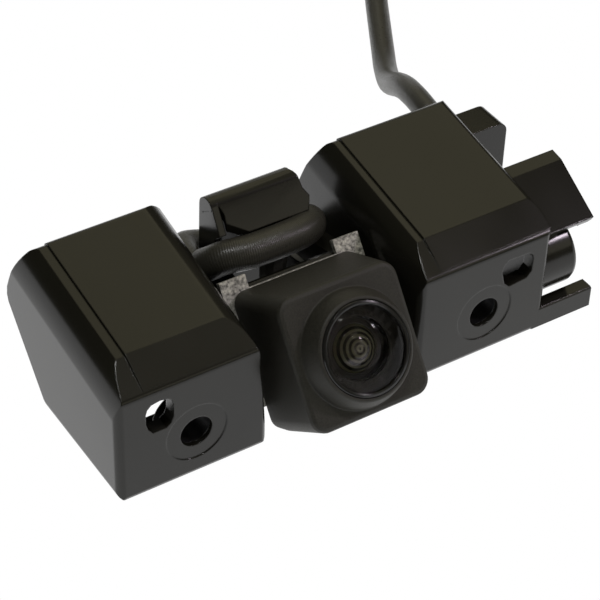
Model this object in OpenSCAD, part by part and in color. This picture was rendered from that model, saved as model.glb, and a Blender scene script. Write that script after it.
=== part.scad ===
// Backup camera on a two-box bracket, with its looped lead and connector.
// Modelled from the bracket's left end (x), the front walls (y) and the base (z), then moved so
// that the origin is the centre of the footprint. +X runs along the bracket, +Y back, +Z up.

/* [Bracket] */
// Overall length of the bracket with its end tabs
bracket_len = 103.8; // [103.4:0.1:104.4]
// Width of the left box at its base
left_w = 30.5; // [30:0.1:30.8]
// Width of the right box at its base
right_w = 30.1; // [30:0.1:30.4]
// Height of the front walls
front_h = 23.4; // [22.8:0.1:24]
// Wall thickness of the boxes
wall = 2.4; // [2:0.1:2.6]
// Thickness of the front walls
front_wall = 2.8; // [2.4:0.1:3]

/* [Screw holes] */
// Diameter of the two M6 clearance holes
hole_d = 6.4; // [6.2:0.1:6.6]
// Distance between the two screw holes
hole_pitch = 62; // [61.8:0.1:62.2]
// Height of the screw holes above the base
hole_z = 9.9; // [9.6:0.1:10.2]
// Diameter of the washer ring round each hole
ring_d = 12.2; // [12:0.1:12.6]

/* [Camera] */
// Upward tilt of the lens axis in degrees
tilt = 36.5; // [36:0.1:37]
// Width of the camera's front face
face_w = 25; // [24.8:0.1:25.2]
// Height of the camera's front face
face_h = 25.2; // [25:0.1:25.4]
// Depth of the front housing
case_depth = 15; // [14.8:0.1:15.2]
// Radius of the dome lens
dome_r = 7.7; // [7.5:0.1:7.8]

/* [Lead] */
// Diameter of the lead
lead_d = 5.2; // [5:0.1:5.3]
// Diameter of the lead where it is wrapped
wrap_d = 6.4; // [6.2:0.1:6.5]
// Diameter across the middle of the stored turns
coil_mid_d = 52; // [52:0.5:54]

/* [Connector] */
// Length of the connector body
plug_len = 18; // [17:0.5:18]
// Width of the connector body
plug_w = 9.6; // [9:0.1:10]
// Height of the connector body
plug_h = 7.6; // [7.4:0.1:8]

/* [Hidden] */
$fn = 64;
gap = 0.05;
origin = [51.9, 14.9, 0];

gloss_black = "#151514";
matt_black = "#232322";
rubber_black = "#1b1b1b";
steel = "#8d9094";
dark_steel = "#3a3a3c";
glass_tint = "#39413c";
board_green = "#1f4a2c";
brass = "#b59a55";

// Boxes: the outline seen from the end, then the places of the right box and the tabs
band_y = 6.4;
band_z = 27.3;
top_slope = 9.3;
right_x = 62.3;
hole_x = 15.7;
side_wall = 2.2;
sleeve_y = 1.2;
boss_end = 5.6;
boss_d = 11.6;
ledge_y = 15.6;
ledge_t = 1.5;
strip_h = 5;
tab_x = right_x + right_w - 0.4;
block_y = 30.2;
block_d = 7;
block_x = 96.3;
block_top = 25.5;
exit_z = 20.5;

// Camera: the centre of its front face, and depths measured back along the lens axis
cam_pos = [46, -3.84, 18.48];
plate_t = 1.1;
bridge_d = case_depth + plate_t;
bridge_t = 2.2;
gland_up = 2.5;
gland_tip = 26;

// Hook over the lead
hook_pos = [32.9, 28.3];
hook_r = 2.5;
hook_t = 1.2;
rib_x = 37;
rib_t = 1.4;
bridge_x0 = left_w + gap;
bridge_x1 = right_x - gap;

function on_lead_axis(d) = cam_pos + [0, d * cos(tilt) + gland_up * sin(tilt),
    gland_up * cos(tilt) - d * sin(tilt)];

lead_start = case_depth + 2.4;
lead_route = [on_lead_axis(gland_tip), [46.3, 20.6, 4.3], [46.9, 23, 4.2], [47.9, 26, 5.6],
    [49, 28.6, 8.6], [50, 30.2, 12.2], [51.5, 30.8, 15.6], [53.5, 30.9, 18.2]];
wrap_route = [[53.5, 30.9, 18.2], [55.2, 30.5, 19.4], [56.3, 29.6, 20.3], [56.6, 28.5, 20.8],
    [55.9, 27.2, 21.2], [54.4, 26, 21.8], [52.4, 25, 22.3], [50.2, 24.5, 22.6], [47, 24.2, 22.8],
    [43.8, 24.2, 22.8], [41, 24.3, 22.8], [38.4, 25, 22.6], [36.3, 26, 22], [34.9, 27.2, 20.8],
    [34, 28.7, 19.4]];
rear_route = [[34, 28.7, 19.4], [33.6, 30.6, 18.4], [33.6, 33, 18], [34.1, 36.2, 17.4],
    [35.6, 38.7, 16.6], [38.6, 39.6, 15.2], [43, 39.6, 13.4], [49, 39.5, 11.2], [55, 39.2, 9.2],
    [62, 38.9, 8], [70, 38.8, 7.6], [79, 38.8, 7.6], [87, 38.6, 7.6], [91.6, 37.6, 8],
    [94.6, 35.7, 9.4], [96, 34.1, 11.8], [96.3, 33.6, 14.6], [96.3, 33.7, 17],
    [96.3, 34.6, 19.2], [96.3, 36, 20.3], [96.3, 37.6, 20.5]];

// Free cord: out of the boot, down to the ground and away to the stored turns
cord_exit = [96.3, 45.2, 20.5];
cord_route = [cord_exit, [96.7, 48, 20.5], [97.3, 51, 20.3], [98.1, 54.2, 19.6],
    [99.2, 57.6, 18.4], [100.5, 61, 16.6], [102, 64.4, 14.4], [103.7, 67.8, 11.9],
    [105.5, 71.2, 9.4], [107.4, 74.6, 7.1], [109.4, 78.1, 5.3], [111.5, 81.8, 4], [113.7, 85.6, 3.1],
    [116.2, 89.8, 2.7], [120, 96.4, 2.6], [125, 105.1, 2.6], [130, 113.7, 2.6], [135, 122.4, 2.6],
    [139.6, 130.4, 2.6], [144.2, 138.3, 2.6]];
coil_pos = [117, 154];
coil_turns = 2;
coil_start = -30;
turn_step = lead_d + 0.1;
coil_r0 = coil_mid_d / 2 + turn_step;
coil_r1 = coil_r0 - coil_turns * turn_step;
coil_width = coil_turns * turn_step + lead_d;
tie_angles = [60, 150];

// Tail from the last turn to the connector, in the coil's own frame
tail_r = 11;
tail_sweep = 100;
tail_rise = 1.2;
plug_turn = coil_start + tail_sweep + 90;
plug_wire_z = lead_d / 2 + tail_rise;
seal_len = 2.4;
latch_x = 9;
latch_z = plug_h + 1.4;
pivot_d = 1.4;
slot_w = 3.4;

// ---- helpers ----

function arc(c, r, a0, a1, n = 8) = [for (i = [0:n])
    [c.x + r.x * cos(a0 + (a1 - a0) * i / n), c.y + r.y * sin(a0 + (a1 - a0) * i / n)]];

function rounded(w, h, r) = concat(
    arc([w / 2 - r, h / 2 - r], [r, r], 0, 90), arc([r - w / 2, h / 2 - r], [r, r], 90, 180),
    arc([r - w / 2, r - h / 2], [r, r], 180, 270), arc([w / 2 - r, r - h / 2], [r, r], 270, 360));

function unit(v) = v / norm(v);

// Catmull-Rom curve through the points, with n steps a span
function smooth(p, n) = [for (i = [0:len(p) - 2]) for (k = [0:(i == len(p) - 2 ? n : n - 1)])
    let (t = k / n, a = p[max(i - 1, 0)], b = p[i], c = p[i + 1], d = p[min(i + 2, len(p) - 1)])
    0.5 * (2 * b + (c - a) * t + (2 * a - 5 * b + 4 * c - d) * t ^ 2
        + (3 * b - a - 3 * c + d) * t ^ 3)];

function heading(p, i) = unit(p[min(i + 1, len(p) - 1)] - p[max(i - 1, 0)]);

// Sideways vectors carried along the path without twist
function frames(p, i = 0, u = [0, 0, 0]) = i >= len(p) ? [] :
    let (t = heading(p, i), s = i == 0 ? (abs(t.z) < 0.9 ? [0, 0, 1] : [1, 0, 0]) : u,
        v = unit(s - (s * t) * t))
    concat([v], frames(p, i + 1, v));

module tube(p, r, sides = 10) {
    f = frames(p);
    n = len(p);
    rings = [for (i = [0:n - 1]) let (t = heading(p, i), v = f[i], w = cross(t, v))
        for (k = [0:sides - 1]) p[i] + r * (cos(360 * k / sides) * v + sin(360 * k / sides) * w)];
    walls = [for (i = [0:n - 2]) for (k = [0:sides - 1])
        let (a = i * sides + k, b = i * sides + (k + 1) % sides) each
        [[a, b + sides, b], [a, a + sides, b + sides]]];
    polyhedron(points = rings, faces = concat([[for (k = [0:sides - 1]) k]], walls,
        [[for (k = [sides - 1:-1:0]) (n - 1) * sides + k]]));
}

// Outline in Y and Z, drawn out along X
module along_x(x0, x1) {
    translate([x0, 0, 0]) rotate([90, 0, 90]) linear_extrude(x1 - x0) children();
}

// Outline in X and Z, drawn out along Y
module along_y(y0, y1) {
    translate([0, y1, 0]) rotate([90, 0, 0]) linear_extrude(y1 - y0) children();
}

// Camera frame: Z is the lens axis, pointing back into the camera, and -Y is its upper side
module in_camera() {
    translate(cam_pos) rotate([-tilt, 0, 0]) rotate([-90, 0, 0]) children();
}

module slab(d0, d1, w, h, r, up = 0) {
    translate([0, -up, d0]) linear_extrude(d1 - d0) polygon(rounded(w, h, r));
}

module in_coil() {
    translate([coil_pos.x, coil_pos.y, 0]) children();
}

// Connector frame: +X runs from the cord's end to the open face, z = 0 on the ground
module in_plug() {
    in_coil() translate([plug_at.x, plug_at.y, 0]) rotate(plug_turn) children();
}

// ---- bracket ----

side_outline = concat([[1, 0], [0.3, 0.3], [0, 1]],
    arc([1.3, front_h - 0.95], [1.3, 1.3], 180, 123, 5), arc([7.1, 26.5], [0.9, 0.9], 123, 99, 3),
    arc([34.6, 30.4], [1.5, 1.5], 99, 25, 6),
    [[39.7, 22.7], [40.7, 20.4], [41, 18.4], [40.6, 16.9], [28, 1.8], [25.6, 0.5], [22.5, 0]]);

// The same outline with its top lower by the step beside the raised pad, and the pad itself
step = 0.4;
low_outline = [for (p = side_outline) [p.x, p.y > front_h + 1 ? p.y - step : p.y]];
pad_outline = concat([[1.2, 22.6], [0.75, 23.7]], arc([7.1, 26.5], [0.9, 0.9], 123, 99, 3),
    arc([34.6, 30.4], [1.5, 1.5], 99, 25, 6), [[36.6, 27.6], [34, 30], [8, 26]]);

hollow_outline = [[front_wall, -3], [front_wall, front_h - 1.7], [7, 24.6], [33.1, 28.9],
    [37.3, 21], [38.2, 18.6], [37.9, 16.6], [44, 8], [30, -3]];

// Outlines across the box, level with the top: a left shoulder that meets the end wall at an
// angle from the horizontal, and a right one whose wall may lean outwards to the base
function left_shoulder(crease, drop, angle, t) = concat([[t, -45]],
    arc([crease, -drop], [(crease - t) / abs(cos(angle)), drop], angle, 90), [[60, 0], [60, -45]]);

function right_shoulder(flat, top_wall, base_wall) = concat([[-60, -45], [-60, 0]],
    arc([flat, flat - top_wall], [top_wall - flat, top_wall - flat], 90, 0, 6),
    [[base_wall, -27], [base_wall, -45]]);

// Solid between two outlines in X and Z that have the same number of points
module loft(a, b, y0, y1) {
    n = len(a);
    walls = [for (i = [0:n - 1]) let (k = (i + 1) % n) each [[i, i + n, k + n], [i, k + n, k]]];
    polyhedron(points = concat([for (p = a) [p.x, y0, p.y]], [for (p = b) [p.x, y1, p.y]]),
        faces = concat([[for (i = [0:n - 1]) i]], walls, [[for (i = [n - 1:-1:0]) i + n]]));
}

module level_with_top() {
    translate([0, band_y, band_z + 0.06]) rotate([top_slope, 0, 0]) children();
}

// Box data: base width, left crease, drop and angle of the left shoulder, right edge of the
// flat top, and the right wall's top at the front and at the back
left_box = [left_w, 5.7, 8.5, 180, 24, 28.2, 30.9];
right_box = [right_w, 5, 13, 155, 27.8, 29.9, 30.1];

// t is 0 for the outside and the wall's thickness for the hollow
module box_form(b, t) {
    w = b[0];
    intersection() {
        union() {
            along_x(-1, t > 0 ? w - t : w + 1) polygon(t > 0 ? hollow_outline : low_outline);
            if (t == 0) along_x(b[1], w + 1) polygon(pad_outline);
        }
        level_with_top() along_y(-40, 60) polygon(left_shoulder(b[1], b[2], b[3],
            t > 0 ? t : -0.06));
        level_with_top() translate([-t, 0, 0]) loft(right_shoulder(b[4], b[5], w + 0.1),
            right_shoulder(b[4], b[6], w + 0.1), -15, 45);
        if (t == 0) translate([w / 2, 0, 25]) along_y(-1, 60) polygon(rounded(w, 50, 2.4));
        if (t == 0) translate([w / 2, 24.95, -1]) linear_extrude(50)
            polygon(rounded(w + 0.1, 50, 2));
    }
}

// Screw boss behind the front wall
module screw_boss(x) {
    translate([x, front_wall - 1, hole_z]) rotate([-90, 0, 0])
        cylinder(h = boss_end - front_wall + 1, d = boss_d);
}

// Ledge inside the base, from the front wall back
module base_ledge(x0, x1) {
    along_x(x0, x1) polygon([[1, 0.3], [1, ledge_t], [ledge_y, ledge_t], [ledge_y, 0.3]]);
}

module screw_cuts(x) {
    translate([x, -1, hole_z]) rotate([-90, 0, 0]) cylinder(h = 20, d = hole_d);
    translate([x, sleeve_y, hole_z]) rotate([-90, 0, 0]) cylinder(h = 20, d = 9);
    translate([x, -1, hole_z]) rotate([-90, 0, 0]) cylinder(h = 1.2, d = ring_d);
}

// Locating slots beside the screw holes, as outlines round the hole's centre
left_slot = [[-10, 6.5], [-10, 8.8], [-9.7, 9.8], [-8.9, 10.6], [-7.2, 10.9], [-5.6, 10.6],
    [-4.8, 9.9], [-4.5, 8.8], [-4.5, 6], [-5, 4.8], [-6, 4], [-8.7, 4], [-9.6, 5.2]];
right_slot = [[3.3, 8.2], [3.7, 9.8], [4.7, 10.7], [9.4, 10.5], [10.3, 9.7], [10.5, 8.6],
    [10.4, 5.9], [9.2, 4.6], [5.2, 4.2], [4, 5.4]];

module locating_slot(x, outline) {
    translate([x, 0, hole_z]) along_y(-1, front_wall + 1) polygon(outline);
}

// Two thread-forming screws join each box to the bridge, with their heads inside the boxes
screw_places = [[20, 9], [27, 9.6]];
head_left = left_w - side_wall - 0.8;
head_right = right_x + side_wall;

module at_bridge_screws() {
    for (p = screw_places) {
        translate([head_left, p.x, p.y]) rotate([0, 90, 0]) children();
        translate([head_right, p.x, p.y]) rotate([0, -90, 0]) children();
    }
}

module bridge_screw_bores() {
    at_bridge_screws() {
        cylinder(h = 7.5, d = 2.8);
        translate([0, 0, -3]) cylinder(h = 3, d = 5.4);
    }
}

module left_cover() {
    color(gloss_black) difference() {
        union() {
            difference() {
                box_form(left_box, 0);
                box_form(left_box, side_wall);
            }
            screw_boss(hole_x);
            base_ledge(1.8, left_w - 1.8);
        }
        screw_cuts(hole_x);
        locating_slot(hole_x, left_slot);
        bridge_screw_bores();
    }
}

module wing() {
    along_x(tab_x, bracket_len) polygon([[2.2, 20.7], [13.3, 27.2], [16.1, 27.65], [16.1, 26.3],
        [13.7, 25.9], [2.9, 19.5]]);
    along_x(tab_x, tab_x + 4.2) polygon([[2.9, 19.6], [13, 25.8], [13, 21], [6, 14]]);
    along_x(bracket_len - 2.6, bracket_len) polygon([[2.9, 19.6], [6, 21.4], [6, 20], [3.6, 18.6]]);
}

module round_boss() {
    translate([tab_x, 8.6, 11.2]) rotate([0, 90, 0]) rotate_extrude() polygon([[0, 0], [7.4, 0],
        [7.4, 7.6], [7.15, 8.2], [6.6, 8.4], [0, 8.4]]);
}

module cable_block() {
    along_y(block_y, block_y + block_d) polygon(concat([[tab_x, 11], [bracket_len - 0.6, 11],
        [bracket_len, 12.5]], arc([bracket_len - 2.2, block_top - 2.2], [2.2, 2.2], 0, 90),
        [[tab_x, block_top]]));
}

module cable_channel() {
    translate([block_x, 33.65, 0]) cylinder(h = exit_z, d = lead_d + 0.7);
    translate([block_x, 33.65, exit_z]) sphere(d = lead_d + 0.7);
    translate([block_x, 33.65, exit_z]) rotate([-90, 0, 0]) cylinder(h = 12, d = lead_d + 0.7);
    translate([block_x, 35.6, exit_z]) rotate([-90, 0, 0]) cylinder(h = 12, d = 7.2);
    translate([block_x, 33.65, 14]) rotate([0, 138.5, 136.2]) cylinder(h = 12, d = lead_d + 0.7);
}

module right_cover() {
    color(gloss_black) difference() {
        union() {
            difference() {
                translate([right_x, 0, 0]) box_form(right_box, 0);
                translate([right_x, 0, 0]) box_form(right_box, side_wall);
            }
            screw_boss(hole_x + hole_pitch);
            base_ledge(right_x + 1.8, right_x + right_w - 1.8);
            along_x(tab_x - 2, bracket_len) polygon([[0.4, 0], [0, 0.4], [0, strip_h - 0.3],
                [0.3, strip_h], [front_wall, strip_h], [front_wall, 0]]);
            wing();
            round_boss();
            cable_block();
        }
        screw_cuts(hole_x + hole_pitch);
        locating_slot(hole_x + hole_pitch, right_slot);
        bridge_screw_bores();
        cable_channel();
    }
}

module screw_sleeves() {
    color(dark_steel) for (i = [0, 1])
        translate([hole_x + i * hole_pitch, sleeve_y, hole_z]) rotate([-90, 0, 0])
            difference() {
                cylinder(h = boss_end - sleeve_y, d = 9);
                translate([0, 0, -1]) cylinder(h = 20, d = hole_d);
            }
}

// ---- bridge with the hook ----

// The bridge stands behind the camera as an arch: a tilted plate, side rails and a back wall
module bridge_plate() {
    in_camera() translate([0, 0, bridge_d]) linear_extrude(bridge_t) difference() {
        polygon([[bridge_x0 - cam_pos.x, 5], [bridge_x0 - cam_pos.x, -9], [-13.5, -15.3],
            [13.5, -15.3], [bridge_x1 - cam_pos.x, -9], [bridge_x1 - cam_pos.x, 5]]);
        polygon([[-11.7, 8], [-11.7, -11.6], [-10, -12.6], [10, -12.6], [11.7, -11.6], [11.7, 8]]);
    }
}

module side_rail(x0, x1) {
    along_x(x0, x1) polygon([[7.3, 4.6], [15.5, 15.7], [22, 16.2], [34.4, 13.6], [34.4, 4],
        [28, 2.6]]);
}

hook_outline = concat([[34.2, 4], [36, 4]], arc(hook_pos, [hook_r, hook_r], 0, 141),
    [[27, 24.9], [27.9, 24.1]], arc(hook_pos, [hook_r - hook_t, hook_r - hook_t], 141, 0));

hook_plan = [[rib_x, 40], [rib_x, 31.2], [38.4, 31.2], [39, 29.9], [38.8, 28.8], [39.5, 28.5],
    [43.3, 26.8], [55.3, 26.8], [56.4, 28.1], [56.7, 28.6], [55.8, 29.7], [55.6, 31.3],
    [55.2, 32.2], [54.8, 33], [54.8, 40]];

module hook() {
    intersection() {
        along_x(rib_x, 60) polygon(hook_outline);
        translate([0, 0, -1]) linear_extrude(50) polygon(hook_plan);
    }
}

// The left rib carries the hook's end and has a fine weld line across its face
module ribs() {
    difference() {
        along_x(rib_x, rib_x + rib_t) polygon(concat([[36, 6]],
            arc(hook_pos, [hook_r, hook_r], 0, 145, 10), [[28, 25.2], [29.7, 23.6], [29.7, 19.6],
            [27, 17.8], [20, 17.2], [10, 5], [29, 3.4]]));
        translate([rib_x - 0.9, 27, 31.9]) rotate([-35, 0, 0]) cube([1, 14, 0.15]);
    }
    along_x(53.4, 53.4 + rib_t) polygon([[36, 6], [36, 12], [24, 14], [17, 14], [10, 5],
        [29, 3.4]]);
}

module lower_back() {
    along_y(34.4, 36) polygon([[bridge_x0 + 1, 4.4], [bridge_x1 - 1, 4.4], [bridge_x1 - 1, 13],
        [55, 14.5], [55, 17], [rib_x, 17], [rib_x, 14.5], [bridge_x0 + 1, 13]]);
}

module center_bridge() {
    color(gloss_black) difference() {
        union() {
            bridge_plate();
            side_rail(bridge_x0, bridge_x0 + 4);
            side_rail(bridge_x1 - 4, bridge_x1);
            lower_back();
            hook();
            ribs();
        }
        bridge_screw_bores();
    }
}

module bridge_screws() {
    color(steel) at_bridge_screws() difference() {
        union() {
            translate([0, 0, -1.6]) cylinder(h = 1.6, d1 = 4.2, d2 = 5);
            cylinder(h = 6.8, d = 2.7);
        }
        translate([0, 0, -2]) cylinder(h = 1.2, d = 1.8, $fn = 6);
    }
}

// Plate behind the camera: two ears stand above the case, and it reaches down both sides
module retaining_plate() {
    color("#4b4b47") in_camera() translate([0, 0, case_depth]) linear_extrude(plate_t) difference() {
        polygon([[-14.9, 6.5], [-14.9, -17.4], [-9.4, -17.4], [-9.4, -14.8], [9.4, -14.8],
            [9.4, -17.4], [14.9, -17.4], [14.9, 6.5]]);
        polygon([[-11.6, 8], [-11.6, -12.4], [11.6, -12.4], [11.6, 8]]);
    }
}

// ---- camera case ----

rim_h = 3.9;
lens_bore_r = 8.75;
barrel_r = 6.6;
barrel_end = 9.6;

module case_form() {
    hull() {
        slab(0, 0.3, face_w - 1.8, face_h - 1.8, 2.4, 0.3);
        slab(0.25, 0.5, face_w - 0.6, face_h - 0.6, 2.8, 0.3);
        slab(0.8, 1.2, face_w, face_h, 3.1, 0.3);
        slab(12.4, 12.5, 26.2, 26.5, 3, 1.05);
        slab(case_depth - 0.6, case_depth, 26.6, 26.3, 2.6, 1.55);
    }
}

// The four case screws stand inside the corners of the case
module at_case_screws() {
    for (x = [-9.5, 9.5]) for (y = [-9.4, 8.4]) translate([x, y]) children();
}

module front_housing() {
    color(matt_black) in_camera() difference() {
        union() {
            case_form();
            rotate_extrude() polygon([[0, 0.8], [11.2, 0.8], [11.2, 0.1], [10.9, -0.2],
                [10.6, -1.2], [10.2, -2.2], [9.8, -3], [9.4, -rim_h + 0.2], [9.1, -rim_h],
                [lens_bore_r, -rim_h], [lens_bore_r - 0.2, -2], [0, -2]]);
        }
        translate([0, 0, 3]) slab(0, case_depth, 21.4, 20.6, 2);
        translate([0, 0, -8]) cylinder(h = 8.6, r = lens_bore_r);
        translate([0, 0, -1]) cylinder(h = 2.15, r = barrel_r + 1.15);
        translate([0, 0, -1]) cylinder(h = 6, r = barrel_r + gap);
        at_case_screws() translate([0, 0, 6]) cylinder(h = 12, d = 1.6);
    }
    color(matt_black) in_camera() intersection() {
        at_case_screws() translate([0, 0, 2.5]) difference() {
            cylinder(h = case_depth - 4, d = 4);
            translate([0, 0, 3.5]) cylinder(h = 12, d = 1.6);
        }
        slab(0, case_depth, 23, 22.2, 2);
    }
}

module housing_seal() {
    color("#7a3f28") in_camera() translate([0, 0, case_depth - 0.9]) linear_extrude(0.85)
        difference() {
            polygon(rounded(21.2, 20.4, 2));
            polygon(rounded(16.4, 16, 1.4));
            at_case_screws() circle(d = 2);
        }
}

module rear_housing() {
    color(matt_black) in_camera() difference() {
        union() {
            slab(case_depth, case_depth + 1.9, 22.8, 21.6, 2.6, 0.4);
            slab(case_depth + 1.8, case_depth + 3.4, 20.4, 17.6, 2.4, 1.6);
            translate([0, -gland_up, case_depth + 3]) cylinder(h = 3, d = 10);
        }
        translate([0, 0, -0.1]) slab(case_depth, case_depth + 2, 17.2, 16, 2, 0.4);
        translate([0, -gland_up, case_depth]) cylinder(h = 20, d = 8);
        at_case_screws() translate([0, 0, 6]) cylinder(h = 20, d = 2.1);
        at_case_screws() translate([0, 0, case_depth + 0.9]) cylinder(h = 5, d = 3.8);
    }
}

module housing_screws() {
    color(steel) in_camera() at_case_screws() difference() {
        union() {
            translate([0, 0, 8]) cylinder(h = case_depth - 7, d = 1.6);
            translate([0, 0, case_depth + 0.9]) cylinder(h = 1, d = 3.4);
        }
        translate([0, 0, case_depth + 1.3]) cylinder(h = 2, d = 1.3, $fn = 6);
    }
}

// ---- lens ----

module lens_barrel() {
    color("#101011") in_camera() rotate_extrude() polygon([[8.7, -2.2], [8.7, 0.55],
        [barrel_r, 0.55], [barrel_r, barrel_end - 1.6], [5.4, barrel_end - 1.6],
        [5.4, barrel_end], [2.4, barrel_end], [2.4, 9], [3.35, 8.4], [3.35, 4], [4.65, 4],
        [4.65, 0.4], [5.6, 0.4], [5.6, -0.7], [7.75, -0.7], [7.75, -2.2]]);
}

module barrel_seal() {
    color(rubber_black) in_camera() translate([0, 0, 0.85]) rotate_extrude()
        translate([barrel_r + 0.58, 0]) circle(d = 0.56);
}

module lens_ring() {
    color("#0b0b0c") in_camera() rotate_extrude() polygon([[8.7, -2.2], [8.7, -3.8], [8.5, -4.1],
        [8.1, -4.2], [dome_r + 0.15, -4.1], [dome_r + 0.05, -3.7], [dome_r + 0.05, -2.2]]);
}

dome_curve = 14;
dome_top = -6.2;

module front_lens() {
    color(glass_tint, 0.45) in_camera() difference() {
        intersection() {
            translate([0, 0, dome_top + dome_curve]) sphere(r = dome_curve);
            translate([0, 0, -8]) cylinder(h = 7.3, r = dome_r);
        }
        translate([0, 0, 2.2]) sphere(r = 6.2);
    }
}

module second_lens() {
    color(glass_tint, 0.5) in_camera() difference() {
        intersection() {
            translate([0, 0, 5.8]) sphere(r = 7);
            cylinder(h = 6, r = 4.6, center = true);
        }
        translate([0, 0, 5.2]) sphere(r = 4.6);
        translate([0, 0, 2]) cylinder(h = 6, r = 6);
    }
}

module lens_spacers() {
    color("#0e0e0f") in_camera() {
        translate([0, 0, 2]) difference() {
            cylinder(h = 2, r = 4.6);
            translate([0, 0, -1]) cylinder(h = 4, r = 3.1);
        }
        translate([0, 0, 6]) difference() {
            cylinder(h = 0.6, r = 3.3);
            translate([0, 0, -1]) cylinder(h = 4, r = 2.3);
        }
    }
}

module aperture_stop() {
    color("#0e0e0f") in_camera() translate([0, 0, 5.8]) difference() {
        cylinder(h = 0.2, r = 3.3);
        translate([0, 0, -1]) cylinder(h = 4, r = 1.2);
    }
}

module biconvex(d0, d1, r, curve) {
    intersection() {
        translate([0, 0, d0 + curve]) sphere(r = curve, $fn = 160);
        translate([0, 0, d1 - curve]) sphere(r = curve, $fn = 160);
        translate([0, 0, d0]) cylinder(h = d1 - d0, r = r);
    }
}

module rear_lenses() {
    color(glass_tint, 0.5) in_camera() {
        biconvex(4, 5.8, 3.3, 8);
        biconvex(6.6, 8.3, 3.3, 9);
    }
}

// ---- boards ----

module lens_holder() {
    color("#161616") in_camera() difference() {
        union() {
            translate([0, 0, barrel_end - 1.5]) cylinder(h = 1.5, r = 7.4);
            slab(barrel_end, barrel_end + 1.5, 14, 14, 1);
        }
        translate([0, 0, 0]) cylinder(h = barrel_end + 0.02, r = 5.5);
        slab(barrel_end - 0.5, barrel_end + 3, 8.4, 8.4, 0.4);
    }
}

module ir_filter() {
    color("#5a2a30", 0.5) in_camera() slab(barrel_end + 0.1, barrel_end + 0.4, 8.2, 8.2, 0.3);
}

module image_sensor() {
    color("#3b3d46") in_camera() slab(barrel_end + 0.8, barrel_end + 1.45, 6.4, 5.4, 0.2);
}

module sensor_board() {
    color(board_green) in_camera() difference() {
        slab(barrel_end + 1.5, barrel_end + 2.5, 20, 19.2, 1.4);
        at_case_screws() cylinder(h = 20, d = 4.4);
    }
}

module board_connector() {
    color("#2a2520") in_camera() translate([-6.4, 0, 0])
        slab(barrel_end + 2.5, barrel_end + 4, 3, 10, 0.3);
}

module processor_board() {
    color(board_green) in_camera() slab(barrel_end + 4, barrel_end + 4.8, 15.6, 14.8, 1.4, 0.4);
}

module board_chips() {
    color("#1a1b1e") in_camera() {
        translate([1, 1.6, 0]) slab(barrel_end + 3.2, barrel_end + 4, 5, 5, 0.2);
        translate([5.6, -3.6, 0]) slab(barrel_end + 3, barrel_end + 4, 3, 3.4, 0.2);
        for (i = [0:2]) translate([3.4 + 1.6 * i, 5.6, 0])
            slab(barrel_end + 3.4, barrel_end + 4, 0.8, 1.6, 0.1);
    }
}

module lead_header() {
    color("#d8d2c0") in_camera() translate([0, 3.6, 0])
        slab(barrel_end + 4.8, barrel_end + 7, 7, 3, 0.3);
}

module inner_wires() {
    wire_top = lead_start;
    color("#7d2f26") in_camera() for (i = [0:3])
        tube(smooth([[1.5 * i - 2.25, 2, barrel_end + 6.2], [1.3 * i - 1.95, 0.6, barrel_end + 6.6],
            [1 * i - 1.5, -1.2, wire_top - 0.7], [0.9 * i - 1.35, -gland_up, wire_top]], 3), 0.38, 8);
}

// ---- lead held by the bracket ----

module cable_gland() {
    color(rubber_black) in_camera() translate([0, -gland_up, 0]) rotate_extrude() polygon([
        [lead_d / 2, case_depth + 3], [4, case_depth + 3], [4, case_depth + 6],
        [3.9, case_depth + 7], [3.5, gland_tip], [lead_d / 2, gland_tip]]);
}

module inner_lead() {
    color(rubber_black) tube(concat([on_lead_axis(lead_start)], smooth(lead_route, 3)),
        lead_d / 2);
}

module lead_wrap() {
    color(matt_black) tube(smooth(wrap_route, 3), wrap_d / 2, 12);
}

module rear_lead() {
    color(rubber_black) tube(smooth(rear_route, 2), lead_d / 2);
}

module cord_boot() {
    color(rubber_black) translate([block_x, 0, exit_z]) rotate([-90, 0, 0]) rotate_extrude()
        polygon([[0, 37.6], [3.5, 37.6], [3.4, 39], [3, 44.6], [2.8, cord_exit.y],
            [0, cord_exit.y]]);
}

// ---- free cord, its stored turns and the connector ----

module cord_tube() {
    color(rubber_black) tube(cord_route, lead_d / 2);
}

module cord_coil() {
    color(rubber_black) in_coil() rotate_extrude() translate([(coil_r0 + coil_r1) / 2, lead_d / 2])
        polygon(rounded(coil_width, lead_d, 2));
}

tail_start = coil_r1 * [cos(coil_start), sin(coil_start)];
tail_mid = (coil_r1 - tail_r) * [cos(coil_start), sin(coil_start)];
tail_end = tail_mid + tail_r * [cos(coil_start + tail_sweep), sin(coil_start + tail_sweep)];
plug_at = tail_end;

// The tail turns inwards from the last turn and rises a little to the connector
tail_route = [for (i = [0:12]) let (a = coil_start + tail_sweep * i / 12)
    concat(tail_mid + tail_r * [cos(a), sin(a)],
        [lead_d / 2 + tail_rise * (1 - cos(180 * i / 12)) / 2])];

module cord_tail() {
    color(rubber_black) in_coil() tube(tail_route, lead_d / 2);
}

// Two flat bands round the bundle of turns, open underneath
module cord_tie() {
    color("#202020") in_coil() for (a = tie_angles) rotate(a)
        translate([(coil_r0 + coil_r1) / 2, 3, lead_d / 2]) rotate([90, 0, 0]) linear_extrude(6)
            difference() {
                polygon(rounded(coil_width + 1.2, lead_d + 1.2, 2.4));
                polygon(rounded(coil_width + 0.04, lead_d + 0.04, 2));
                translate([-20, -lead_d / 2 - 5]) square([40, 5]);
            }
}

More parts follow.
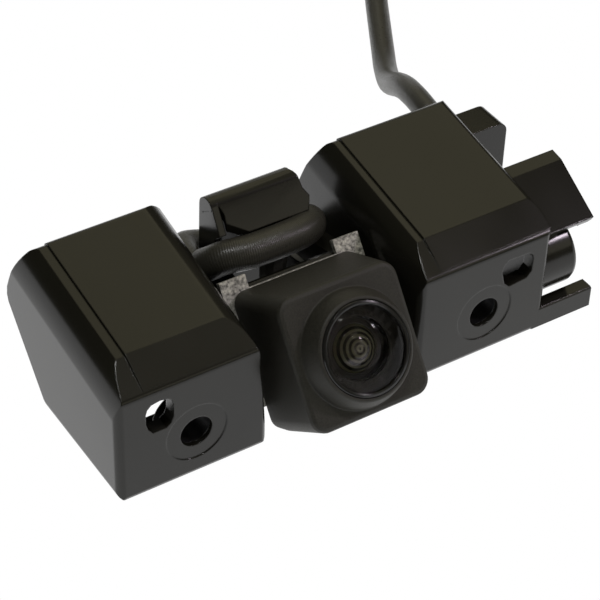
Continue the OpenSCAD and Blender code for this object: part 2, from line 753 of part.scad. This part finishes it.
module plug_body() {
    color("#17181a") in_plug() difference() {
        union() {
            translate([seal_len, -plug_w / 2, 0]) cube([plug_len - seal_len, plug_w, plug_h]);
            for (side = [-1, 1]) translate([latch_x, side * (slot_w / 2 + 0.9), latch_z])
                rotate([90, 0, 0]) cylinder(h = 1, d = 2.6, center = true);
            for (side = [-1, 1]) translate([latch_x, side * (slot_w / 2 + 0.9), plug_h + 0.6])
                cube([2.6, 1, 1.6], center = true);
            for (side = [-1, 1]) translate([seal_len + 2, side * (slot_w / 2 + 1.3), plug_h + 0.4])
                cube([3.6, 1.2, 1], center = true);
            translate([latch_x, 0, latch_z]) rotate([90, 0, 0])
                cylinder(h = slot_w + 2, d = pivot_d, center = true);
        }
        for (i = [-1, 1]) for (k = [0, 1]) translate([seal_len + 4, 2.2 * i - 0.8, 1.8 + 2.6 * k])
            cube([plug_len, 1.6, 1.6]);
        translate([seal_len - 1, 0, plug_wire_z]) rotate([0, 90, 0]) cylinder(h = 3, d = 6.4);
        for (side = [-1, 1]) translate([plug_len - 5, side * plug_w / 2, 1.2])
            cube([12, 0.8, 1.2], center = true);
    }
}

module plug_seal() {
    color("#b5531f") in_plug() rotate([0, 90, 0]) translate([-plug_wire_z, 0, 0])
        rotate_extrude() polygon([[0, 0], [2.9, 0], [3.2, 0.6], [2.9, 1.1], [3.2, 1.6],
            [3.2, seal_len + 1.9], [0, seal_len + 1.9]]);
}

module plug_terminals() {
    color(brass) in_plug() for (i = [-1, 1]) for (k = [0, 1])
        translate([seal_len + 4.02, 2.2 * i - 0.75, 1.85 + 2.6 * k]) difference() {
            cube([9, 1.5, 1.5]);
            translate([3, 0.4, 0.4]) cube([9, 0.7, 0.7]);
        }
}

// Latch lever: rocks on a cross pin, with a press pad behind and a hook in front
module plug_latch() {
    color("#1c1d1f") in_plug() difference() {
        along_y(-slot_w / 2 + 0.15, slot_w / 2 - 0.15) polygon([[4.5, latch_z + 0.1],
            [4.5, latch_z + 1], [5, latch_z + 1.2], [latch_x - 2, latch_z + 0.9],
            [latch_x + 1, latch_z + 1.2], [plug_len - 1.6, latch_z + 0.5], [plug_len - 0.6, latch_z],
            [plug_len - 0.6, latch_z - 0.9], [plug_len - 2.2, latch_z - 0.9],
            [plug_len - 2.6, latch_z - 0.3], [latch_x + 1.2, latch_z - 0.9],
            [latch_x - 1.2, latch_z - 0.9], [latch_x - 2, latch_z - 0.2]]);
        translate([latch_x, 0, latch_z]) rotate([90, 0, 0])
            cylinder(h = 10, d = pivot_d + 0.1, center = true);
    }
}

// Secondary lock: slides forward under the press pad
module plug_lock() {
    color("#a02a22") in_plug() translate([1.3, 0, 0]) {
        translate([0, -slot_w / 2 + 0.2, plug_h + 0.1]) cube([3.2, slot_w - 0.4, 0.7]);
        translate([0, -slot_w / 2 - 0.6, plug_h + 0.1]) cube([0.9, slot_w + 1.2, 1.5]);
    }
}

// ---- assembly ----

translate(-origin) {
    left_cover();
    right_cover();
    center_bridge();
    bridge_screws();
    screw_sleeves();
    retaining_plate();
    front_housing();
    housing_seal();
    rear_housing();
    housing_screws();
    lens_barrel();
    barrel_seal();
    lens_ring();
    front_lens();
    second_lens();
    lens_spacers();
    aperture_stop();
    rear_lenses();
    lens_holder();
    ir_filter();
    image_sensor();
    sensor_board();
    board_connector();
    processor_board();
    board_chips();
    lead_header();
    inner_wires();
    cable_gland();
    inner_lead();
    lead_wrap();
    rear_lead();
    cord_boot();
    cord_tube();
    cord_coil();
    cord_tail();
    cord_tie();
    plug_body();
    plug_seal();
    plug_terminals();
    plug_latch();
    plug_lock();
}
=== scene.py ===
"""Looks of a backup camera on a two-box bracket: camera, lead, meshes, materials and light."""

import math

import bmesh
import bpy
from mathutils import Matrix, Vector


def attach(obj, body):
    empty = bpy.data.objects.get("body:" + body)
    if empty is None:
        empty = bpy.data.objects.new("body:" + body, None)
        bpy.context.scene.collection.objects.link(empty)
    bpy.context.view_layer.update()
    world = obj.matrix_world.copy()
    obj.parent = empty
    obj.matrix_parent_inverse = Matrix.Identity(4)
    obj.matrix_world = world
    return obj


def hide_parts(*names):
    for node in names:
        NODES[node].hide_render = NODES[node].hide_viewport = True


MM = 0.001
BODY = "camera"

# The model's datum (left end, front walls, base) in the frame, in millimetres
DATUM = Vector((51.9, 14.9, 0.0))

# The view: where the camera looks, from which side, and how long its lens is
VIEW_TARGET = Vector((48.77, 18.7, 11.96))
VIEW_AZIMUTH = -33.667
VIEW_ELEVATION = 40.476
VIEW_ROLL = 1.904
VIEW_DISTANCE = 395.56
VIEW_LENS = 127.85

# The room's light, dim and warm; the floor gives the white light
ROOM_COLOR = (0.06, 0.056, 0.038)

# The lens axis: the middle of the camera's front face, and its upward tilt
FACE_CENTRE = (46.0, -3.84, 18.48)
LENS_TILT = 36.5

# The free lead: its diameter, length and route, as in the model
LEAD_DIAMETER = 5.2
CORD_EXIT = (96.3, 45.2, 20.5)
CORD_ROUTE = [
    CORD_EXIT, (96.7, 48, 20.5), (97.3, 51, 20.3), (98.1, 54.2, 19.6), (99.2, 57.6, 18.4),
    (100.5, 61, 16.6), (102, 64.4, 14.4), (103.7, 67.8, 11.9), (105.5, 71.2, 9.4),
    (107.4, 74.6, 7.1), (109.4, 78.1, 5.3), (111.5, 81.8, 4), (113.7, 85.6, 3.1),
    (116.2, 89.8, 2.7), (120, 96.4, 2.6), (125, 105.1, 2.6), (130, 113.7, 2.6),
    (135, 122.4, 2.6), (139.6, 130.4, 2.6), (144.2, 138.3, 2.6),
]
COIL_CENTRE = (117.0, 154.0)
COIL_OUTER = 31.3
COIL_STEP = 5.3
COIL_TURNS = 2
COIL_START = -30.0
TAIL_RADIUS = 11.0
TAIL_SWEEP = 100.0
TAIL_RISE = 1.2

# The held lead's routes, as in the model
WRAP_DIAMETER = 6.4
WRAP_ROUTE = [
    (53.5, 30.9, 18.2), (55.2, 30.5, 19.4), (56.3, 29.6, 20.3), (56.6, 28.5, 20.8),
    (55.9, 27.2, 21.2), (54.4, 26, 21.8), (52.4, 25, 22.3), (50.2, 24.5, 22.6), (47, 24.2, 22.8),
    (43.8, 24.2, 22.8), (41, 24.3, 22.8), (38.4, 25, 22.6), (36.3, 26, 22), (34.9, 27.2, 20.8),
    (34, 28.7, 19.4),
]
REAR_ROUTE = [
    (34, 28.7, 19.4), (33.6, 30.6, 18.4), (33.6, 33, 18), (34.1, 36.2, 17.4), (35.6, 38.7, 16.6),
    (38.6, 39.6, 15.2), (43, 39.6, 13.4), (49, 39.5, 11.2), (55, 39.2, 9.2), (62, 38.9, 8),
    (70, 38.8, 7.6), (79, 38.8, 7.6), (87, 38.6, 7.6), (91.6, 37.6, 8), (94.6, 35.7, 9.4),
    (96, 34.1, 11.8), (96.3, 33.6, 14.6), (96.3, 33.7, 17), (96.3, 34.6, 19.2), (96.3, 36, 20.3),
    (96.3, 37.6, 20.5),
]

# How finely curves are drawn: sides of a tube, steps in a span, in a turn and in the tail
TUBE_SIDES = 24
CORD_STEPS = 3
HELD_STEPS = 8
TURN_STEPS = 48
TAIL_STEPS = 24

# Length of lead, in millimetres, for one unit of its UVs
UV_LENGTH = 10.0

# Faces that turn by less than the first angle, in degrees, are one flat, and by less than the
# second one rounding; corners closer than the distance, in millimetres, are one corner
FLAT_ANGLE = 0.4
ROUND_ANGLE = 20.0
WELD_DISTANCE = 0.001

# Soft lights: their distance from the model, in millimetres, and for each its name, direction
# from the model, size in millimetres, power in watts, and colour
LIGHT_DISTANCE = 400.0
LIGHTS = [
    ("overhead_back", (0.42, 0.45, 0.82), (320.0, 260.0), 0.18, (1.0, 0.93, 0.62)),
    ("overhead_front", (0.42, -0.1, 0.9), (320.0, 170.0), 0.045, (1.0, 0.93, 0.66)),
    ("front_card", (0.42, -0.79, 0.44), (320.0, 120.0), 0.09, (1.0, 0.95, 0.75)),
    ("top_lamp", (-0.1, -0.15, 0.98), (90.0, 16.0), 0.42, (1.0, 1.0, 1.0)),
    ("right_lamp", (0.62, -0.44, 0.65), (32.0, 32.0), 0.3, (1.0, 0.88, 1.0)),
    ("back_card", (0.3, 0.9, 0.3), (300.0, 160.0), 0.08, (1.0, 0.97, 0.85)),
]

# Half the floor's width, in metres
FLOOR_HALF = 3.0

# Scales of the fine grain, of the larger marks and of the rings in the materials
FLOW_SCALE = 45.0
GLOSS_GRAIN = 2400.0
MATT_GRAIN = 3000.0
LEAD_GRAIN = 2600.0
LEAD_RINGS = 9.0
PLAIN_GRAIN = 1500.0
FLECK_SCALE = 1700.0
LENS_RINGS = 330.0

# A plain piece's shade and roughness go from the first to the second of these times their value
DARKER = 0.85
LIGHTER = 1.15

# The part of a noise's range that is spread over a material's own range
NOISE_LOW = 0.3
NOISE_HIGH = 0.7

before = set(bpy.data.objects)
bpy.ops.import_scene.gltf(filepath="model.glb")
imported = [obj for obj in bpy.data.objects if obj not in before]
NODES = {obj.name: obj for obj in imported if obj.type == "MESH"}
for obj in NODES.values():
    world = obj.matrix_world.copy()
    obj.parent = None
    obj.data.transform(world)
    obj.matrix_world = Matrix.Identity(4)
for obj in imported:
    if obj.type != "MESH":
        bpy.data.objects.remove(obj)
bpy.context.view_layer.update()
scene = bpy.context.scene


def at(point):
    """A point of the model, in millimetres from the datum, in the frame in metres."""
    return (Vector(point) - DATUM) * MM


# ---- view ----


def make_camera():
    """The camera at the view's distance, turned about its own axis by the roll."""
    azimuth = math.radians(VIEW_AZIMUTH)
    elevation = math.radians(VIEW_ELEVATION)
    back = Vector((
        math.sin(azimuth) * math.cos(elevation),
        -math.cos(azimuth) * math.cos(elevation),
        math.sin(elevation),
    ))
    right = Vector((math.cos(azimuth), math.sin(azimuth), 0.0))
    up = back.cross(right)
    turn = Matrix((right, up, back)).transposed() @ Matrix.Rotation(
        math.radians(VIEW_ROLL), 3, "Z"
    )
    data = bpy.data.cameras.new("view")
    data.lens = VIEW_LENS
    data.sensor_width = 36.0
    data.clip_start = 0.01
    camera = bpy.data.objects.new("view", data)
    place = Matrix.Translation(at(VIEW_TARGET) + back * VIEW_DISTANCE * MM)
    camera.matrix_world = place @ turn.to_4x4()
    scene.collection.objects.link(camera)
    scene.camera = camera


# ---- mesh helpers ----


def smooth_route(points, steps):
    """Catmull-Rom curve through the points, with a few steps to each span."""
    route = [Vector(p) for p in points]
    result = []
    for i in range(len(route) - 1):
        before = route[max(i - 1, 0)]
        start = route[i]
        end = route[i + 1]
        after = route[min(i + 2, len(route) - 1)]
        for k in range(steps):
            t = k / steps
            result.append(0.5 * (
                2 * start
                + (end - before) * t
                + (2 * before - 5 * start + 4 * end - after) * t * t
                + (3 * start - before - 3 * end + after) * t * t * t
            ))
    result.append(route[-1])
    return result


def new_object(name, mesh):
    """An object of the scene that shows a mesh."""
    piece = bpy.data.objects.new(name, mesh)
    scene.collection.objects.link(piece)
    return piece


def tube_piece(name, points, diameter):
    """A round tube along points in the frame, with its length and its turn as UVs."""
    radius = diameter / 2 * MM
    angles = [2 * math.pi * k / TUBE_SIDES for k in range(TUBE_SIDES)]
    mesh = bmesh.new()
    uv_layer = mesh.loops.layers.uv.new("UVMap")
    rings = []
    lengths = [0.0]
    side = Vector((0.0, 0.0, 1.0))
    for i, point in enumerate(points):
        ahead = points[min(i + 1, len(points) - 1)]
        behind = points[max(i - 1, 0)]
        heading = (ahead - behind).normalized()
        side = (side - heading * side.dot(heading)).normalized()
        across = heading.cross(side)
        if i:
            lengths.append(lengths[-1] + (point - points[i - 1]).length)
        rings.append([
            mesh.verts.new(point + radius * (math.cos(angle) * side + math.sin(angle) * across))
            for angle in angles
        ])
    for i in range(len(rings) - 1):
        for k in range(TUBE_SIDES):
            corners = ((i, k), (i, k + 1), (i + 1, k + 1), (i + 1, k))
            face = mesh.faces.new([rings[ring][turn % TUBE_SIDES] for ring, turn in corners])
            for loop, (ring, turn) in zip(face.loops, corners):
                loop[uv_layer].uv = (lengths[ring] / (UV_LENGTH * MM), turn / TUBE_SIDES)
    mesh.faces.new(list(reversed(rings[0])))
    mesh.faces.new(rings[-1])
    for face in mesh.faces:
        face.smooth = len(face.verts) == 4
    data = bpy.data.meshes.new(name)
    mesh.to_mesh(data)
    mesh.free()
    return new_object(name, data)


# ---- materials ----


def principled(name, color, roughness, **sockets):
    """A node material with its Principled shader; returns both."""
    material = bpy.data.materials.new(name)
    material.use_nodes = True
    shader = material.node_tree.nodes["Principled BSDF"]
    shader.inputs["Base Color"].default_value = (*color, 1.0)
    shader.inputs["Roughness"].default_value = roughness
    for socket, value in sockets.items():
        shader.inputs[socket.replace("_", " ")].default_value = value
    return material, shader


def add_noise(material, scale, detail, stretch=None):
    """Noise in the object's own coordinates, stretched along an axis if asked; its output."""
    nodes = material.node_tree.nodes
    links = material.node_tree.links
    place = nodes.new("ShaderNodeTexCoord")
    noise = nodes.new("ShaderNodeTexNoise")
    noise.inputs["Scale"].default_value = scale
    noise.inputs["Detail"].default_value = detail
    if stretch:
        mapping = nodes.new("ShaderNodeMapping")
        mapping.inputs["Scale"].default_value = stretch
        links.new(place.outputs["Object"], mapping.inputs["Vector"])
        links.new(mapping.outputs["Vector"], noise.inputs["Vector"])
    else:
        links.new(place.outputs["Object"], noise.inputs["Vector"])
    return noise.outputs["Fac"]


def add_bump(material, shader, height, strength, depth, edge=0.0):
    """Relief from a height output, with edges shown rounded; depth and edge radius in mm."""
    nodes = material.node_tree.nodes
    links = material.node_tree.links
    bump = nodes.new("ShaderNodeBump")
    bump.inputs["Strength"].default_value = strength
    bump.inputs["Distance"].default_value = depth * MM
    links.new(height, bump.inputs["Height"])
    if edge:
        bevel = nodes.new("ShaderNodeBevel")
        bevel.samples = 6
        bevel.inputs["Radius"].default_value = edge * MM
        links.new(bevel.outputs["Normal"], bump.inputs["Normal"])
    links.new(bump.outputs["Normal"], shader.inputs["Normal"])


def vary(material, shader, height, low, high):
    """Varies the roughness between two values by a noise output."""
    spread = material.node_tree.nodes.new("ShaderNodeMapRange")
    spread.inputs["From Min"].default_value = NOISE_LOW
    spread.inputs["From Max"].default_value = NOISE_HIGH
    spread.inputs["To Min"].default_value = low
    spread.inputs["To Max"].default_value = high
    material.node_tree.links.new(height, spread.inputs["Value"])
    material.node_tree.links.new(spread.outputs["Result"], shader.inputs["Roughness"])


def tint(material, shader, height, dark, light):
    """Varies the base colour between two shades by a noise output."""
    ramp = material.node_tree.nodes.new("ShaderNodeValToRGB")
    ramp.color_ramp.elements[0].position = NOISE_LOW
    ramp.color_ramp.elements[0].color = (*dark, 1.0)
    ramp.color_ramp.elements[1].position = NOISE_HIGH
    ramp.color_ramp.elements[1].color = (*light, 1.0)
    material.node_tree.links.new(height, ramp.inputs["Fac"])
    material.node_tree.links.new(ramp.outputs["Color"], shader.inputs["Base Color"])


def gloss_black():
    """Glossy black plastic of the bracket: faint flow marks over a very fine grain."""
    material, shader = principled(
        "bracket_gloss", (0.011, 0.0105, 0.008), 0.19, Specular_IOR_Level=0.38,
    )
    flow = add_noise(material, FLOW_SCALE, detail=2.0, stretch=(1.0, 0.4, 1.0))
    vary(material, shader, flow, 0.16, 0.23)
    tint(material, shader, flow, (0.009, 0.0085, 0.0065), (0.013, 0.0125, 0.0095))
    grain = add_noise(material, GLOSS_GRAIN, detail=2.0)
    add_bump(material, shader, grain, strength=0.12, depth=0.04, edge=0.35)
    return material


def matt_black():
    """Fine spark-textured black of the camera case."""
    material, shader = principled(
        "camera_matt", (0.022, 0.021, 0.016), 0.55, Specular_IOR_Level=0.4,
    )
    grain = add_noise(material, MATT_GRAIN, detail=3.0)
    vary(material, shader, grain, 0.48, 0.64)
    tint(material, shader, grain, (0.014, 0.0135, 0.01), (0.03, 0.0285, 0.022))
    add_bump(material, shader, grain, strength=0.3, depth=0.08, edge=0.3)
    return material


def lead_black():
    """Ribbed rubber of the lead: fine rings along it, broken by noise."""
    material, shader = principled("lead_jacket", (0.036, 0.035, 0.028), 0.34)
    nodes = material.node_tree.nodes
    links = material.node_tree.links
    place = nodes.new("ShaderNodeTexCoord")
    wave = nodes.new("ShaderNodeTexWave")
    wave.bands_direction = "X"
    wave.inputs["Scale"].default_value = LEAD_RINGS
    wave.inputs["Distortion"].default_value = 2.0
    wave.inputs["Detail Scale"].default_value = 6.0
    links.new(place.outputs["UV"], wave.inputs["Vector"])
    grain = add_noise(material, LEAD_GRAIN, detail=2.0)
    vary(material, shader, grain, 0.26, 0.44)
    add_bump(material, shader, wave.outputs["Fac"], strength=0.5, depth=0.06)
    return material


def plain(name, color, roughness, **sockets):
    """A piece with its own colour, slightly uneven in shade and gloss."""
    material, shader = principled(name, color, roughness, **sockets)
    grain = add_noise(material, PLAIN_GRAIN, detail=3.0)
    dark = [DARKER * part for part in color]
    light = [LIGHTER * part for part in color]
    tint(material, shader, grain, dark, light)
    vary(material, shader, grain, DARKER * roughness, LIGHTER * roughness)
    add_bump(material, shader, grain, strength=0.15, depth=0.05, edge=0.15)
    return material


def speckled():
    """Bead-blasted grey of the retaining plate, with bright flecks."""
    material, shader = principled("plate_speckled", (0.1, 0.1, 0.09), 0.45, Metallic=0.5)
    fleck = add_noise(material, FLECK_SCALE, detail=4.0)
    tint(material, shader, fleck, (0.1, 0.1, 0.088), (0.7, 0.69, 0.64))
    vary(material, shader, fleck, 0.6, 0.3)
    add_bump(material, shader, fleck, strength=0.4, depth=0.1, edge=0.15)
    return material


def glass(name, color, ior):
    """Coated glass: a low index stands for the coating that cuts its reflections."""
    return principled(name, color, 0.02, Transmission_Weight=1.0, IOR=ior)[0]


# ---- pieces ----


def finish_piece(piece, material, replaced):
    """Gives a piece its material and its body, and hides the CAD nodes it stands for."""
    piece.data.materials.clear()
    piece.data.materials.append(material)
    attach(piece, BODY)
    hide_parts(*replaced)


def flat_regions(mesh, limit):
    """The number of each face's flat region, and the regions' areas."""
    region = {}
    areas = []
    for first in mesh.faces:
        if first in region:
            continue
        region[first] = len(areas)
        waiting = [first]
        area = 0.0
        while waiting:
            face = waiting.pop()
            area += face.calc_area()
            for edge in face.edges:
                for other in edge.link_faces:
                    if other not in region and face.normal.angle(other.normal, 0.0) < limit:
                        region[other] = len(areas)
                        waiting.append(other)
        areas.append(area)
    return region, areas


def corner_normals(mesh, flat_limit, smooth_limit):
    """A normal for each corner: roundings turn smoothly and large flats stay flat."""
    region, areas = flat_regions(mesh, flat_limit)
    normals = []
    for face in mesh.faces:
        for loop in face.loops:
            total = face.normal * areas[region[face]]
            met = {region[face]}
            for other in loop.vert.link_faces:
                if region[other] in met or face.normal.angle(other.normal, math.pi) > smooth_limit:
                    continue
                met.add(region[other])
                total += other.normal * areas[region[other]]
            normals.append(total.normalized())
    return normals


def moulded_copy(node, name, material):
    """A CAD node's mesh, smooth over its roundings and flat on its flats."""
    piece = new_object(name, NODES[node].data.copy())
    mesh = bmesh.new()
    mesh.from_mesh(piece.data)
    bmesh.ops.remove_doubles(mesh, verts=mesh.verts, dist=WELD_DISTANCE * MM)
    mesh.normal_update()
    for face in mesh.faces:
        face.smooth = True
    normals = corner_normals(mesh, math.radians(FLAT_ANGLE), math.radians(ROUND_ANGLE))
    mesh.to_mesh(piece.data)
    mesh.free()
    piece.data.normals_split_custom_set(normals)
    finish_piece(piece, material, [node])


def coil_route():
    """The stored turns, wound inwards on the floor, and the tail up to the connector."""
    start = math.radians(COIL_START)
    lead_z = LEAD_DIAMETER / 2
    route = []
    steps = TURN_STEPS * COIL_TURNS
    for i in range(1, steps + 1):
        turn = COIL_TURNS * i / steps
        angle = start + 2 * math.pi * turn
        radius = COIL_OUTER - COIL_STEP * turn
        route.append((
            COIL_CENTRE[0] + radius * math.cos(angle),
            COIL_CENTRE[1] + radius * math.sin(angle),
            lead_z,
        ))
    middle = COIL_OUTER - COIL_STEP * COIL_TURNS - TAIL_RADIUS
    for i in range(1, TAIL_STEPS + 1):
        angle = start + math.radians(TAIL_SWEEP) * i / TAIL_STEPS
        rise = TAIL_RISE * (1 - math.cos(math.pi * i / TAIL_STEPS)) / 2
        route.append((
            COIL_CENTRE[0] + middle * math.cos(start) + TAIL_RADIUS * math.cos(angle),
            COIL_CENTRE[1] + middle * math.sin(start) + TAIL_RADIUS * math.sin(angle),
            lead_z + rise,
        ))
    return route


def make_cord(material):
    """The free lead: down from the bracket, round its stored turns and into the connector."""
    points = [at(p) for p in smooth_route(CORD_ROUTE, CORD_STEPS) + coil_route()]
    cord = tube_piece("free_lead", points, LEAD_DIAMETER)
    finish_piece(cord, material, ["cord_tube", "cord_coil", "cord_tail"])


def make_held_lead(material):
    """The lead over the bracket: the wrapped loop under the hook and the run behind."""
    for name, route, diameter, node in (
        ("lead_loop", WRAP_ROUTE, WRAP_DIAMETER, "lead_wrap"),
        ("lead_behind", REAR_ROUTE, LEAD_DIAMETER, "rear_lead"),
    ):
        held = tube_piece(name, [at(p) for p in smooth_route(route, HELD_STEPS)], diameter)
        finish_piece(held, material, [node])


def painted_reflection_lens():
    """The inner lens: coated glass with a painted reflection: fine greenish rings about the lens
    axis, dark to bright, painted into its colour in place of the coating's reflection.
    """
    material, shader = principled(
        "inner_lens_painted_reflection", (0.1, 0.1, 0.07), 0.12, Transmission_Weight=0.3, Coat_Weight=1.0,
    )
    nodes = material.node_tree.nodes
    links = material.node_tree.links
    place = nodes.new("ShaderNodeTexCoord")
    mapping = nodes.new("ShaderNodeMapping")
    mapping.vector_type = "TEXTURE"
    mapping.inputs["Location"].default_value = at(FACE_CENTRE)
    mapping.inputs["Rotation"].default_value = (math.radians(90.0 - LENS_TILT), 0.0, 0.0)
    wave = nodes.new("ShaderNodeTexWave")
    wave.wave_type = "RINGS"
    wave.rings_direction = "Z"
    wave.inputs["Scale"].default_value = LENS_RINGS
    links.new(place.outputs["Object"], mapping.inputs["Vector"])
    links.new(mapping.outputs["Vector"], wave.inputs["Vector"])
    # Painted reflection: the base colour runs from dark to bright green over the rings, standing in
    # for the light the coating reflects
    tint(material, shader, wave.outputs["Fac"], (0.02, 0.021, 0.014), (0.2, 0.21, 0.13))
    add_bump(material, shader, wave.outputs["Fac"], strength=0.4, depth=0.1)
    return material


def paint_nodes(materials):
    """Gives each CAD node that stays its own material."""
    for material, names in materials:
        for name in names:
            node = NODES[name]
            node.data.materials.clear()
            node.data.materials.append(material)


# ---- stage ----


def make_stage():
    """A white floor that glows evenly, under a dim warm room."""
    world = bpy.data.worlds.new("studio")
    world.use_nodes = True
    world.node_tree.nodes["Background"].inputs["Color"].default_value = (*ROOM_COLOR, 1.0)
    world.node_tree.nodes["Background"].inputs["Strength"].default_value = 1.0
    scene.world = world
    scene.view_settings.view_transform = "Standard"
    mesh = bpy.data.meshes.new("floor")
    corners = [(x * FLOOR_HALF, y * FLOOR_HALF, 0) for x, y in ((-1, -1), (1, -1), (1, 1), (-1, 1))]
    mesh.from_pydata(corners, [], [(0, 1, 2, 3)])
    floor = new_object("floor", mesh)
    material = bpy.data.materials.new("floor_white")
    material.use_nodes = True
    nodes = material.node_tree.nodes
    nodes.clear()
    glow = nodes.new("ShaderNodeEmission")
    glow.inputs["Strength"].default_value = 1.0
    output = nodes.new("ShaderNodeOutputMaterial")
    material.node_tree.links.new(glow.outputs["Emission"], output.inputs["Surface"])
    floor.data.materials.append(material)


def make_light(name, direction, size, power, color):
    """A soft light aimed at the middle of the model; sizes in mm, power in watts."""
    target = at(VIEW_TARGET)
    position = target + Vector(direction).normalized() * LIGHT_DISTANCE * MM
    data = bpy.data.lights.new(name, "AREA")
    data.energy = power
    data.shape = "RECTANGLE"
    data.size = size[0] * MM
    data.size_y = size[1] * MM
    data.color = color
    light = bpy.data.objects.new(name, data)
    light.location = position
    light.rotation_euler = (target - position).to_track_quat("-Z", "Y").to_euler()
    light.visible_camera = False
    scene.collection.objects.link(light)


make_camera()
LEAD = lead_black()
make_cord(LEAD)
make_held_lead(LEAD)

GLOSS = gloss_black()
MATT = matt_black()
for node in ("left_cover", "right_cover", "center_bridge"):
    moulded_copy(node, node + "_moulded", GLOSS)
moulded_copy("front_housing", "front_case", MATT)

paint_nodes([
    (MATT, ["rear_housing", "lens_holder"]),
    (plain("barrel_black", (0.006, 0.006, 0.006), 0.35), [
        "lens_barrel", "lens_spacers", "aperture_stop",
    ]),
    (plain("ring_gloss", (0.01, 0.01, 0.01), 0.12), ["lens_ring"]),
    (speckled(), ["retaining_plate"]),
    (plain("steel", (0.42, 0.42, 0.43), 0.35, Metallic=1.0), ["bridge_screws", "housing_screws"]),
    (plain("dark_steel", (0.06, 0.06, 0.062), 0.35, Metallic=0.8), ["screw_sleeves"]),
    (glass("dome", (0.76, 0.73, 0.75), 1.16), ["front_lens"]),
    (painted_reflection_lens(), ["second_lens"]),
    (glass("lens", (0.85, 0.95, 0.88), 1.35), ["rear_lenses"]),
    (plain("filter", (0.2, 0.06, 0.08), 0.1), ["ir_filter"]),
    (plain("seal", (0.2, 0.08, 0.05), 0.6), ["housing_seal", "barrel_seal"]),
    (LEAD, ["cable_gland", "inner_lead", "cord_boot"]),
    (plain("tie", (0.03, 0.03, 0.03), 0.5), ["cord_tie"]),
    (plain("board", (0.03, 0.12, 0.05), 0.35), ["sensor_board", "processor_board"]),
    (plain("chip", (0.03, 0.03, 0.035), 0.4), ["board_chips", "image_sensor", "board_connector"]),
    (plain("header", (0.7, 0.66, 0.55), 0.5), ["lead_header"]),
    (plain("wire", (0.35, 0.05, 0.04), 0.4), ["inner_wires"]),
    (plain("plug", (0.022, 0.022, 0.025), 0.45), ["plug_body", "plug_latch"]),
    (plain("plug_seal", (0.5, 0.14, 0.03), 0.5), ["plug_seal"]),
    (plain("plug_lock", (0.4, 0.04, 0.03), 0.4), ["plug_lock"]),
    (plain("terminal", (0.6, 0.45, 0.2), 0.3, Metallic=1.0), ["plug_terminals"]),
])

make_stage()
for light in LIGHTS:
    make_light(*light)
